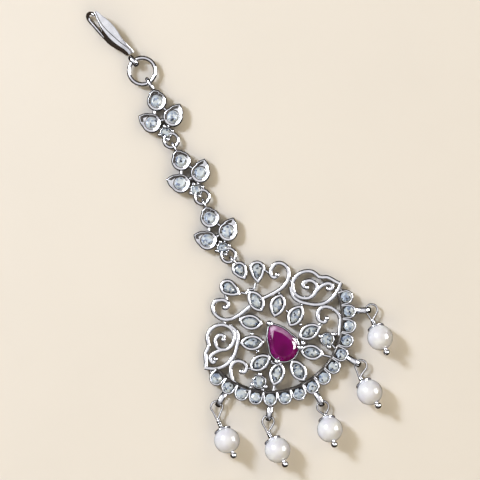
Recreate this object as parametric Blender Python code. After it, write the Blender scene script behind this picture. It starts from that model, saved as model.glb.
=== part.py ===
# Forehead jewel (maang tikka) of silver-toned metal, lying flat: a fan-shaped
# scrollwork pendant with five pearl drops, three flower links and a hair hook.
# Metres, +Z up, +Y towards the hook. The origin is under the centre stone.
import math
from types import SimpleNamespace

import bmesh
import bpy
from mathutils import Vector

MM = 0.001

# Clearances
STONE_GAP = 0.14 * MM       # stone to the wall of its setting
LOOP_GAP = 0.30 * MM        # loose loop to what it hangs on
PEARL_GAP = 0.15 * MM       # pin to the pearl's bore

# Fan rim: a row of round stones on an arc
RIM_R = 17.95 * MM          # arc through the stone centres
RIM_CENTRE_X = 0.5 * MM     # arc centre beside and above the origin
RIM_CENTRE_Y = 5.95 * MM
RIM_TURN = math.radians(0.9)    # stones shifted along the arc, anticlockwise
RIM_STONES = 15
RIM_PITCH = 0.185 * RIM_R   # from stone to stone along the arc
RIM_STONE_D = 2.30 * MM
RIM_IN = 1.75 * MM          # setting from the arc inwards
RIM_OUT = 1.60 * MM         # setting from the arc outwards
RIM_TOP = 2.2 * MM

# Settings that are closed cups with a stone inside
CUP_FLOOR = 0.45 * MM
CUP_WALL = 0.45 * MM
CUP_LIP = 0.20 * MM         # height of the sloped lip
WELL_OVER = 2.0 * MM        # cutters reach this far over a setting
GEM_SEAT = 0.75 * MM        # girdle under the top of its setting
SMALL_SEAT = 0.55 * MM      # the same in a low clawed cup
CLAW_CUP_DROP = 0.50 * MM   # clawed cup under the tops of its claws
PETAL_TOP = 2.3 * MM
MARQUISE_L = 0.2396 * RIM_R  # stone, tip to tip
MARQUISE_W = 0.1393 * RIM_R
PEAR_L = 0.2173 * RIM_R      # stone, tip to round end
PEAR_W = 0.1421 * RIM_R
TOP_PEAR_L = 0.1838 * RIM_R
TOP_PEAR_W = 0.1309 * RIM_R
RUBY_L = 0.5181 * RIM_R
RUBY_W = 0.3565 * RIM_R
RUBY_TOP = 1.9 * MM         # height of the centre stone's collet
TREFOIL_D = 0.1448 * RIM_R
PRONG_R = 0.50 * MM

# Scroll wires
WIRE_R = 0.45 * MM
WIRE_Z = 1.25 * MM
CURL_R = 0.52 * MM          # ball at a scroll's end

# Bails on the rim
BAIL_LEN = 4.05 * MM
BAIL_HIGH = 2.5 * MM
BAIL_WIDE = 1.3 * MM
BAIL_THICK = 0.56 * MM

# Pearl drops
PEARL_D = 5.8 * MM
PEARL_BORE = 1.0 * MM
PIN_R = 0.25 * MM
PIN_LOOP_R = 1.30 * MM
PIN_BALL_D = 1.50 * MM
PIN_WRAP_R = 0.50 * MM
CAP_D = 3.7 * MM            # domed cap on the pearl
CAP_THICK = 0.30 * MM

# Flower links
LINK_STONE_D = 2.75 * MM
LINK_WALL = 0.85 * MM
LINK_TOP = 2.3 * MM
LINK_TIP = 2.75 * MM        # from the top stone's centre to the point of its leaf
LINK_SIDE_TIP = 3.40 * MM   # the same for the side stones
NOOK_HALF = 0.55 * MM       # three-cornered hole by a leaf's point
NOOK_END = 0.55 * MM        # from the hole to the leaf's point
LINK_SIDE = 2.50 * MM       # side stones from the link's middle line
LINK_RISE = 4.40 * MM       # top stone above the side stones
LINK_DROP = 3.00 * MM       # prong stone below the side stones
LINK_SMALL_D = 2.20 * MM
LINK_RING_DROP = 4.95 * MM
LINK_RING_D = 4.00 * MM
LINK_RING_R = 0.42 * MM
LOOP_R = 0.27 * MM          # wire of the upright loop at a leaf's point
RING_Z = 1.45 * MM
LOOP_STEPS = 9              # sides of every upright oval loop

# Hook ring and hair hook
HOOK_RING_D = 6.9 * MM
HOOK_RING_R = 0.47 * MM
HOOK_RING_X = 5.0 * MM
HOOK_RING_GAP = 1.44 * MM   # ring above the top link's point
HOOK_LEN = 12.6 * MM
HOOK_WIDE = 3.4 * MM
HOOK_THICK = 1.1 * MM
HOOK_TILT = math.radians(9.5)
HOOK_RISE = 2.9 * MM        # middle of the blade above the surface
RETURN_LEN = 6.2 * MM
RETURN_R = 0.42 * MM
RETURN_SIDE = 1.5 * MM      # return leg to the left of the blade

# The hand-made fan is a little wider on its right, and leans
FAN_SHARE = {1: 1.01, -1: 0.965}    # widths of the right and left sides
FAN_LEAN = 0.012                    # rise towards the right

# Petals of the pendant, right side and middle: x and y as shares of RIM_R,
# long axis in degrees
MARQUISE_COLUMNS = ("x", "y", "turn")
MARQUISES = (
    (0.000, 0.618, 90),
    (0.203, 0.430, 41),
    (0.324, 0.200, 29),
    (0.372, -0.064, -3),
    (0.260, -0.296, -42),
    (0.000, -0.403, 90),
)
SIDE_PEAR = (0.222, 0.955, 62)      # x, y, direction of the round end
TOP_PEAR = (0.028, 1.074, 90)
TREFOIL = (0.510, -0.265)

# Scroll wires of the right side: points as shares of RIM_R
SCROLLS = {
    "shoulder": ((0.10, 0.60), (0.20, 0.588), (0.30, 0.582), (0.40, 0.594), (0.49, 0.645),
                 (0.54, 0.735), (0.535, 0.82), (0.46, 0.885), (0.38, 0.865), (0.325, 0.81),
                 (0.325, 0.76), (0.385, 0.762)),
    "leaf": ((1.02, 0.25), (0.965, 0.205), (0.89, 0.162), (0.80, 0.140), (0.72, 0.142),
             (0.62, 0.178), (0.53, 0.250), (0.455, 0.335), (0.425, 0.43), (0.46, 0.54)),
    "spiral": ((0.625, 0.425), (0.598, 0.462), (0.622, 0.494), (0.675, 0.494), (0.735, 0.445),
               (0.738, 0.365), (0.688, 0.315), (0.622, 0.297), (0.555, 0.314), (0.485, 0.38),
               (0.463, 0.455), (0.49, 0.545), (0.56, 0.604), (0.65, 0.622), (0.73, 0.60),
               (0.79, 0.55), (0.826, 0.45)),
    "branch": ((0.69, 0.318), (0.755, 0.337), (0.825, 0.342), (0.88, 0.328), (0.908, 0.285),
               (0.885, 0.245), (0.845, 0.268)),
    "wave": ((0.82, 0.465), (0.853, 0.434), (0.908, 0.40), (0.948, 0.34), (0.975, 0.29),
             (1.003, 0.25)),
    "hook": ((0.64, -0.036), (0.605, -0.062), (0.563, -0.038), (0.546, 0.017), (0.573, 0.073),
             (0.63, 0.109), (0.696, 0.10), (0.752, 0.05), (0.785, -0.022), (0.79, -0.095),
             (0.758, -0.167), (0.70, -0.245), (0.665, -0.30)),
}
CURLS = ((0.385, 0.762), (0.625, 0.425), (0.845, 0.268), (0.64, -0.036))

# Short solder bars between neighbours, from and to as shares of RIM_R
BARS = (
    ((0.00, 0.60), (0.10, 0.60)),
    ((0.06, 0.76), (0.11, 0.81)),
    ((0.00, 0.78), (0.06, 0.76)),
    ((0.29, 0.515), (0.29, 0.585)),
    ((0.325, 0.81), (0.29, 0.90)),
    ((0.49, 0.645), (0.50, 0.57)),
    ((0.43, 0.26), (0.50, 0.28)),
    ((0.655, 0.10), (0.665, 0.165)),
    ((0.48, -0.07), (0.565, -0.04)),
    ((0.30, 0.08), (0.34, 0.06)),
    ((0.203, 0.43), (0.324, 0.20)),
    ((0.22, -0.17), (0.25, -0.14)),
    ((0.26, -0.296), (0.45, -0.49)),
    ((0.51, -0.265), (0.38, -0.18)),
    ((0.51, -0.265), (0.72, -0.27)),
    ((0.51, -0.265), (0.54, -0.43)),
    ((0.96, 0.20), (1.00, 0.12)),
)

# Drops: rim place from the middle, bail turned outwards in degrees, then the wrap
# and the pearl as sideways and down shares of PEARL_D from the bail's outer end
DROP_COLUMNS = ("rim", "turn", "wrap_x", "wrap_y", "pearl_x", "pearl_y")
DROPS = (
    (-6, 1.3, -0.214, -0.429, -0.326, -1.308),
    (-3, -8.6, -0.212, -0.353, -0.255, -1.121),
    (0, -5.9, -0.070, -0.300, -0.224, -0.879),
    (3, -6.4, -0.264, -0.352, -0.247, -1.041),
    (6, -3.4, -0.178, -0.352, -0.281, -1.076),
)

# Links from the hook down: middle x, gap from the link's ring to the point below it,
# and the turn of the link's own axis clockwise in degrees. Route of the chain, chosen
# by hand.
LINK_ROUTE = (
    (3.15 * MM, 0.41 * MM, 15.0),
    (1.75 * MM, 0.27 * MM, 3.5),
    (0.25 * MM, 0.25 * MM, 8.0),
)
LINK_RING_SIDE = (1.5, 0.9, 1.2)    # ring off the link's own axis, in wire radii

# Width of the hook's blade along its length, as shares of HOOK_LEN and HOOK_WIDE
BLADE_COLUMNS = ("along", "wide")
BLADE = (
    (0.00, 0.34),
    (0.12, 0.62),
    (0.28, 0.84),
    (0.45, 1.00),
    (0.62, 0.84),
    (0.80, 0.56),
    (0.94, 0.30),
    (1.00, 0.24),
)

METAL = ("silver_metal", (0.80, 0.80, 0.82), 0.10, 1.0)
CLEAR = ("clear_stone", (0.72, 0.77, 0.86), 0.05, 0.0)
RED = ("magenta_stone", (0.52, 0.03, 0.26), 0.06, 0.0)
PEARL = ("pearl", (0.93, 0.91, 0.91), 0.22, 0.0)


def rows(columns, table):
    """Rows of a table, with their values under the columns' names."""
    return [SimpleNamespace(**dict(zip(columns, row))) for row in table]


def clear_scene():
    for old in list(bpy.data.objects):
        bpy.data.objects.remove(old, do_unlink=True)


def material(spec):
    name, colour, roughness, metallic = spec
    made = bpy.data.materials.get(name)
    if made is None:
        made = bpy.data.materials.new(name)
        made.use_nodes = True
        shader = made.node_tree.nodes["Principled BSDF"]
        shader.inputs["Base Color"].default_value = (*colour, 1.0)
        shader.inputs["Roughness"].default_value = roughness
        shader.inputs["Metallic"].default_value = metallic
    return made


def add_object(name, bm, spec, folder=None, smooth=True):
    """Make an object of a bmesh, with its faces turned out."""
    bmesh.ops.recalc_face_normals(bm, faces=bm.faces)
    mesh = bpy.data.meshes.new(name)
    bm.to_mesh(mesh)
    bm.free()
    mesh.materials.append(material(spec))
    if smooth:
        mesh.shade_smooth()
        mesh.set_sharp_from_angle(angle=math.radians(35))
    made = bpy.data.objects.new(name, mesh)
    if folder is None:
        bpy.context.scene.collection.objects.link(made)
    else:
        folder.objects.link(made)
        made.hide_render = True
        made.display_type = 'WIRE'
    return made


def folder_named(name):
    made = bpy.data.collections.new(name)
    bpy.context.scene.collection.children.link(made)
    return made


def bridge(bm, lower, upper):
    count = len(lower)
    for i in range(count):
        j = (i + 1) % count
        bm.faces.new((lower[i], lower[j], upper[j], upper[i]))


def stack(bm, rings):
    """Close a body through rings of points, lowest first; a single point is a tip."""
    made = [[bm.verts.new(point) for point in ring] for ring in rings]
    for lower, upper in zip(made, made[1:]):
        if len(lower) == 1:
            for i in range(len(upper)):
                bm.faces.new((lower[0], upper[(i + 1) % len(upper)], upper[i]))
        elif len(upper) == 1:
            for i in range(len(lower)):
                bm.faces.new((lower[i], lower[(i + 1) % len(lower)], upper[0]))
        else:
            bridge(bm, lower, upper)
    if len(made[0]) > 1:
        bm.faces.new(list(reversed(made[0])))
    if len(made[-1]) > 1:
        bm.faces.new(made[-1])


def place(points, at, turn, z):
    """Turn flat points by an angle, move them to a place and give them a height."""
    c, s = math.cos(turn), math.sin(turn)
    return [Vector((at[0] + x * c - y * s, at[1] + x * s + y * c, z)) for x, y in points]


def circle_outline(radius, count, start=0.0):
    angles = [start + 2 * math.pi * i / count for i in range(count)]
    return [(radius * math.cos(a), radius * math.sin(a)) for a in angles]


def marquise_outline(length, width, steps):
    """Two equal arcs that meet in points on the x axis."""
    half, rise = length / 2, width / 2
    radius = (half * half + rise * rise) / (2 * rise)
    sweep = math.asin(half / radius)
    points = []
    for side in (1, -1):
        for i in range(steps):
            a = side * (sweep - 2 * sweep * i / steps)
            points.append((radius * math.sin(a), side * (radius * math.cos(a) - radius + rise)))
    return points


def pear_outline(length, width, steps):
    """Round end at -x, point at +x, with the round part's centre at the origin."""
    radius = width / 2
    tip = length - radius
    lean = math.acos(min(0.95, radius / tip))
    points = [(tip, 0.0)]
    bow = 0.16 * radius
    for side in (1, -1):
        flank = []
        for i in range(1, 3):
            t = i / 3
            x = tip + (radius * math.cos(lean) - tip) * t
            y = radius * math.sin(lean) * t + bow * math.sin(math.pi * t)
            flank.append((x, side * y))
        if side == 1:
            points += flank
            for i in range(steps + 1):
                a = lean + (2 * math.pi - 2 * lean) * i / steps
                points.append((radius * math.cos(a), radius * math.sin(a)))
        else:
            points += list(reversed(flank))
    return points


def grown(points, by):
    """Move a closed outline outwards by a distance, with mitred corners."""
    count = len(points)
    area = sum(points[i][0] * points[(i + 1) % count][1] - points[(i + 1) % count][0] * points[i][1]
               for i in range(count))
    side = 1.0 if area > 0 else -1.0
    made = []
    for i in range(count):
        here = Vector(points[i])
        before = (here - Vector(points[i - 1])).normalized()
        after = (Vector(points[(i + 1) % count]) - here).normalized()
        normal = Vector((before.y + after.y, -before.x - after.x)).normalized() * side
        cosine = max(0.62, normal.dot(Vector((before.y, -before.x)) * side))
        made.append(tuple(here + normal * (by / cosine)))
    return made


def shrunk(points, share):
    return [(x * share, y * share) for x, y in points]


def gem(name, outline, at, turn, seat, width):
    """Cut stone: table, crown, girdle and pavilion over the outline."""
    girdle = seat + 0.02 * width
    edge = 0.07 * width
    crown = 0.20 * width
    deep = min(0.36 * width, seat - CUP_FLOOR - STONE_GAP)
    centre = Vector((sum(p[0] for p in outline), sum(p[1] for p in outline))) / len(outline)
    table = [(centre.x + (x - centre.x) * 0.58, centre.y + (y - centre.y) * 0.58) for x, y in outline]
    keel = [(centre.x + (x - centre.x) * 0.22, centre.y + (y - centre.y) * 0.22) for x, y in outline]
    bm = bmesh.new()
    stack(bm, [place(keel, at, turn, seat - deep),
               place(outline, at, turn, girdle),
               place(outline, at, turn, girdle + edge),
               place(table, at, turn, girdle + edge + crown)])
    return bm


def cup(folder, wells, name, outline, at, turn, top, wall):
    """Solid setting round a stone's outline, and the cutter of its well."""
    outer = grown(outline, STONE_GAP + wall)
    inner = grown(outline, STONE_GAP)
    bm = bmesh.new()
    lip = grown(outline, STONE_GAP + wall * 0.72)
    stack(bm, [place(outer, at, turn, 0.0), place(outer, at, turn, top - CUP_LIP),
               place(lip, at, turn, top)])
    add_object(name, bm, METAL, folder)
    bm = bmesh.new()
    stack(bm, [place(inner, at, turn, CUP_FLOOR), place(inner, at, turn, top + WELL_OVER)])
    add_object(name + "_well", bm, METAL, wells)


def ball(folder, name, at, radius, around=8, rows=4, stretch=1.0):
    bm = bmesh.new()
    rings = [[Vector(at) - Vector((0, 0, radius * stretch))]]
    for i in range(1, rows):
        a = -math.pi / 2 + math.pi * i / rows
        flat = circle_outline(radius * math.cos(a), around)
        rings.append(place(flat, at, 0.0, at[2] + radius * stretch * math.sin(a)))
    rings.append([Vector(at) + Vector((0, 0, radius * stretch))])
    stack(bm, rings)
    return add_object(name, bm, METAL, folder)


def prong(folder, name, foot, radius, top):
    """Upright claw with a round head."""
    profile = ((0.75, 0.3 * MM), (1.0, top - radius), (0.72, top - 0.3 * radius))
    bm = bmesh.new()
    rings = [place(circle_outline(radius * share, 6), foot, 0.0, z) for share, z in profile]
    stack(bm, rings + [[Vector((foot.x, foot.y, top))]])
    add_object(name, bm, METAL, folder)


def tube_rings(points, radii, sides, closed, flatten=1.0, start=0.0, up=Vector((0, 0, 1))):
    """Cross-sections along a path; radii is one value or one for each point."""
    count = len(points)
    rings = []
    for i, here in enumerate(points):
        before = points[i - 1] if closed or i > 0 else points[0]
        after = points[(i + 1) % count] if closed or i < count - 1 else points[-1]
        along = (Vector(after) - Vector(before)).normalized()
        side = along.cross(up)
        if side.length < 0.2:
            side = along.cross(Vector((0.0, 1.0, 0.1)))
        side.normalize()
        rise = side.cross(along).normalized()
        radius = radii[i] if isinstance(radii, (list, tuple)) else radii
        ring = []
        for k in range(sides):
            a = start + 2 * math.pi * k / sides
            ring.append(Vector(here) + side * (radius * math.cos(a)) + rise * (radius * flatten * math.sin(a)))
        rings.append(ring)
    return rings


def tube(points, radii, sides=6, closed=False, flatten=1.0, start=0.0, up=Vector((0, 0, 1))):
    bm = bmesh.new()
    rings = tube_rings(points, radii, sides, closed, flatten, start, up)
    made = [[bm.verts.new(point) for point in ring] for ring in rings]
    for lower, upper in zip(made, made[1:]):
        bridge(bm, lower, upper)
    if closed:
        bridge(bm, made[-1], made[0])
    else:
        bm.faces.new(list(reversed(made[0])))
        bm.faces.new(made[-1])
    return bm


def smooth_path(points, steps):
    """Curve through the points, with some steps between each two."""
    made = []
    count = len(points)
    for i in range(count - 1):
        p0 = points[max(i - 1, 0)]
        p1, p2 = points[i], points[i + 1]
        p3 = points[min(i + 2, count - 1)]
        for k in range(steps):
            t = k / steps
            made.append(0.5 * ((2 * p1) + (p2 - p0) * t + (2 * p0 - 5 * p1 + 4 * p2 - p3) * t * t
                               + (3 * p1 - p0 - 3 * p2 + p3) * t ** 3))
    made.append(points[-1])
    return made


def on_fan(share, side=1, z=0.0):
    """Place on the pendant from shares of the rim's radius."""
    x = side * share[0] * RIM_R * FAN_SHARE[side]
    return Vector((x, share[1] * RIM_R + x * FAN_LEAN, z))


def pendant_top():
    """Height of the pendant's top setting, where the chain starts."""
    return on_fan(TOP_PEAR[:2]).y + TOP_PEAR_W / 2 + CUP_WALL


def link_middle(number):
    """Place and turn of a link, stacked on the point of the one below it."""
    x, gap, degrees = LINK_ROUTE[number]
    below = pendant_top() if number == len(LINK_ROUTE) - 1 else link_point(number + 1)
    return x, below + LINK_RING_DROP + LINK_RING_D / 2 + gap, -math.radians(degrees)


def link_point(number):
    """Height on the y axis of the point of a link's top leaf."""
    x, y, turn = link_middle(number)
    return y + (LINK_RISE + LINK_TIP) * math.cos(turn)


def hook_ring_at(z=0.0):
    return Vector((HOOK_RING_X, link_point(0) + HOOK_RING_D / 2 + HOOK_RING_GAP, z))


def rim_angle(index):
    return index * RIM_PITCH / RIM_R + RIM_TURN


def rim_point(index, radius):
    """Place on the rim: index counts stones from the middle, to the right."""
    angle = rim_angle(index)
    return Vector((RIM_CENTRE_X + radius * math.sin(angle),
                   RIM_CENTRE_Y - radius * math.cos(angle), 0.0))


def rim_band(folder, wells):
    """Band of settings along the arc, scalloped on its outer side."""
    half = RIM_STONES // 2
    outer, inner = [], []
    scallop = ((-0.5, -0.24), (-0.3, -0.04), (0.0, 0.0), (0.3, -0.04))
    for index in range(-half, half + 1):
        for along, dip in scallop:
            outer.append(rim_point(index + along, RIM_R + RIM_OUT * (1 + dip)))
        inner.append(rim_point(index - 0.5, RIM_R - RIM_IN))
        inner.append(rim_point(index, RIM_R - RIM_IN))
    outer.append(rim_point(half + 0.5, RIM_R + RIM_OUT * (1 + scallop[0][1])))
    inner.append(rim_point(half + 0.5, RIM_R - RIM_IN))
    flat = [(p.x, p.y) for p in outer + list(reversed(inner))]
    bm = bmesh.new()
    stack(bm, [place(flat, (0, 0), 0.0, 0.0), place(flat, (0, 0), 0.0, RIM_TOP)])
    add_object("rim_band", bm, METAL, folder)
    for index in range(-half, half + 1):
        at = rim_point(index, RIM_R)
        turn = rim_angle(index)
        well = circle_outline(RIM_STONE_D / 2 + 0.08 * MM, 8, turn)
        bm = bmesh.new()
        stack(bm, [place(well, at, 0.0, RIM_TOP - 0.35 * MM), place(well, at, 0.0, RIM_TOP + WELL_OVER)])
        add_object("rim_well_%d" % (index + half), bm, METAL, wells)


def rim_stones(folder):
    """Stones of the rim, held in their wells."""
    half = RIM_STONES // 2
    base = RIM_TOP - 0.60 * MM
    for index in range(-half, half + 1):
        at = rim_point(index, RIM_R)
        turn = rim_angle(index)
        girdle = circle_outline(RIM_STONE_D / 2 + 0.02 * MM, 8, turn)
        table = shrunk(girdle, 0.56)
        bm = bmesh.new()
        stack(bm, [place(girdle, at, 0.0, base), place(girdle, at, 0.0, RIM_TOP - 0.08 * MM),
                   place(table, at, 0.0, RIM_TOP + 0.36 * MM)])
        add_object("rim_stone_%d" % (index + half), bm, METAL, folder)


def scroll_wires(folder):
    for side in (1, -1):
        for name, shares in SCROLLS.items():
            points = [on_fan(share, side, WIRE_Z) for share in shares]
            path = smooth_path(points, 1)
            add_object("%s_%d" % (name, side), tube(path, WIRE_R, 5), METAL, folder)
        for i, share in enumerate(CURLS):
            ball(folder, "curl_%d_%d" % (i, side), on_fan(share, side, WIRE_Z), CURL_R, 6, 4)
        for i, (first, last) in enumerate(BARS):
            ends = [on_fan(first, side, WIRE_Z - 0.1 * MM), on_fan(last, side, WIRE_Z - 0.1 * MM)]
            if side == 1 or max(first[0], last[0]) > 0.01:
                add_object("bar_%d_%d" % (i, side), tube(ends, WIRE_R * 0.9, 4), METAL, folder)


def bail_frame(index, turn):
    """Outer edge of the rim, and the outward direction of a bail there."""
    root = rim_point(index, RIM_R + RIM_OUT)
    angle = rim_angle(index) + math.radians(turn)
    return root, Vector((math.sin(angle), -math.cos(angle), 0.0))


def bail_bar(index, turn):
    """Middle of the bail's outer bar, where a drop hangs."""
    root, out = bail_frame(index, turn)
    return root + out * (BAIL_LEN - BAIL_THICK * 0.5 - 0.25 * MM) + Vector((0, 0, BAIL_HIGH / 2))


def bail(folder, number, index, turn):
    """Upright oval loop, soldered to the rim at its inner end."""
    root, out = bail_frame(index, turn)
    reach = BAIL_LEN - BAIL_THICK
    rise = (BAIL_HIGH - BAIL_THICK) / 2
    middle = root + out * (reach / 2 - 0.35 * MM) + Vector((0, 0, BAIL_HIGH / 2))
    points = []
    for i in range(LOOP_STEPS):
        a = 2 * math.pi * i / LOOP_STEPS
        points.append(middle + out * (reach / 2 * math.cos(a)) + Vector((0, 0, rise * math.sin(a))))
    across = out.cross(Vector((0, 0, 1)))
    add_object("bail_%d" % number,
               tube(points, BAIL_THICK / 2, 5, True, BAIL_WIDE / BAIL_THICK, 0.0, across), METAL, folder)


def pendant():
    solids = folder_named("pendant_solids")
    wells = folder_named("pendant_wells")
    stones = folder_named("pendant_stones")
    marquise = marquise_outline(MARQUISE_L, MARQUISE_W, 4)
    number = 0
    for row in rows(MARQUISE_COLUMNS, MARQUISES):
        for side in (1, -1) if row.x > 0 else (1,):
            number += 1
            at = on_fan((row.x, row.y), side)
            angle = math.radians(row.turn if side == 1 else 180 - row.turn)
            cup(solids, wells, "petal_%d" % number, marquise, at, angle, PETAL_TOP, CUP_WALL)
            add_object("marquise_stone_%d" % number,
                       gem("", marquise, at, angle, PETAL_TOP - GEM_SEAT, MARQUISE_W), CLEAR,
                       smooth=False)
    pears = [(TOP_PEAR, 1, TOP_PEAR_L, TOP_PEAR_W), (SIDE_PEAR, 1, PEAR_L, PEAR_W),
             (SIDE_PEAR, -1, PEAR_L, PEAR_W)]
    for i, ((x, y, turn), side, length, width) in enumerate(pears):
        outline = pear_outline(length, width, 7)
        at = on_fan((x, y), side)
        angle = math.radians(turn + 180 if side == 1 else -turn)
        cup(solids, wells, "pear_cup_%d" % i, outline, at, angle, PETAL_TOP, CUP_WALL)
        add_object("pear_stone_%d" % (i + 1),
                   gem("", outline, at, angle, PETAL_TOP - GEM_SEAT, width), CLEAR, smooth=False)
    ruby = pear_outline(RUBY_L, RUBY_W, 11)
    ruby_at = (0.0, RUBY_W / 2 - RUBY_L / 2 + 0.45 * MM)
    cup(solids, wells, "collet", ruby, ruby_at, math.pi / 2, RUBY_TOP, 0.35 * MM)
    add_object("centre_stone", gem("", ruby, ruby_at, math.pi / 2, RUBY_TOP + 0.05 * MM, RUBY_W / 2),
               RED, smooth=False)
    for side in (1, -1):
        at = on_fan(TREFOIL, side)
        outline = circle_outline(TREFOIL_D / 2, 8, math.radians(22.5))
        cup(solids, wells, "trefoil_%d" % side, outline, at, 0.0, PETAL_TOP - CLAW_CUP_DROP, 0.25 * MM)
        add_object("small_stone_%d" % (1 if side == 1 else 2),
                   gem("", outline, at, 0.0, PETAL_TOP - CLAW_CUP_DROP - SMALL_SEAT, TREFOIL_D), CLEAR, smooth=False)
        for k, angle in enumerate((125, 12, 250)):
            a = math.radians(angle if side == 1 else 180 - angle)
            reach = TREFOIL_D / 2 + STONE_GAP + PRONG_R
            spot = at + Vector((math.cos(a), math.sin(a), 0)) * reach
            prong(solids, "trefoil_prong_%d_%d" % (side, k), spot, PRONG_R, PETAL_TOP)
    rim_band(solids, wells)
    rim_stones(stones)
    scroll_wires(solids)
    for number, row in enumerate(rows(DROP_COLUMNS, DROPS)):
        bail(solids, number, row.rim, row.turn)
    top = on_fan((TOP_PEAR[0], TOP_PEAR[1]))
    stem = [Vector((top.x, top.y - TOP_PEAR_L / 2, WIRE_Z)), on_fan((0, 0.70), 1, WIRE_Z)]
    add_object("stem", tube(stem, WIRE_R, 6), METAL, solids)
    ring_at, reach = ring_place(len(LINK_ROUTE) - 1)
    upright_loop(solids, "pendant_loop", Vector((top.x, pendant_top(), 0)), ring_at, reach)
    frame = first_solid("pendant_frame", "rim_band", solids)
    combine(frame, solids, 'UNION')
    combine(frame, wells, 'DIFFERENCE')
    combine(frame, stones, 'UNION')


def first_solid(name, source, folder):
    """Node that starts as one of the solids and takes in the rest."""
    start = folder.objects[source]
    folder.objects.unlink(start)
    bpy.context.scene.collection.objects.link(start)
    start.hide_render = False
    start.display_type = 'TEXTURED'
    start.name = name
    return start


def combine(target, folder, operation):
    cut = target.modifiers.new(folder.name, 'BOOLEAN')
    cut.operation = operation
    cut.operand_type = 'COLLECTION'
    cut.collection = folder
    cut.solver = 'EXACT'


def ring_place(number):
    """Centre of a link's flat ring, and the radius of its wire's middle."""
    x, y, turn = link_middle(number)
    local = Vector((LINK_RING_SIDE[number] * LINK_RING_R, -LINK_RING_DROP))
    c, s = math.cos(turn), math.sin(turn)
    at = Vector((x + local.x * c - local.y * s, y + local.x * s + local.y * c, RING_Z))
    return at, LINK_RING_D / 2 - LINK_RING_R


def upright_loop(folder, name, tip, ring_at, reach):
    """Upright loop from a leaf's point round the nearest wire of the ring above."""
    flat = Vector((ring_at.x - tip.x, ring_at.y - tip.y, 0))
    along = flat.normalized()
    bar = Vector((ring_at.x, ring_at.y, 0)) - along * reach
    far = (bar - Vector((tip.x, tip.y, 0))).dot(along) + LINK_RING_R + LOOP_GAP + LOOP_R
    near = -0.35 * MM
    rise = LINK_RING_R + LOOP_GAP + LOOP_R
    centre = Vector((tip.x, tip.y, RING_Z)) + along * ((far + near) / 2)
    points = []
    for i in range(LOOP_STEPS):
        a = 2 * math.pi * i / LOOP_STEPS
        points.append(centre + along * ((far - near) / 2 * math.cos(a)) + Vector((0, 0, rise * math.sin(a))))
    across = along.cross(Vector((0, 0, 1)))
    add_object(name, tube(points, LOOP_R, 5, True, 1.0, 0.0, across), METAL, folder)


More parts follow.
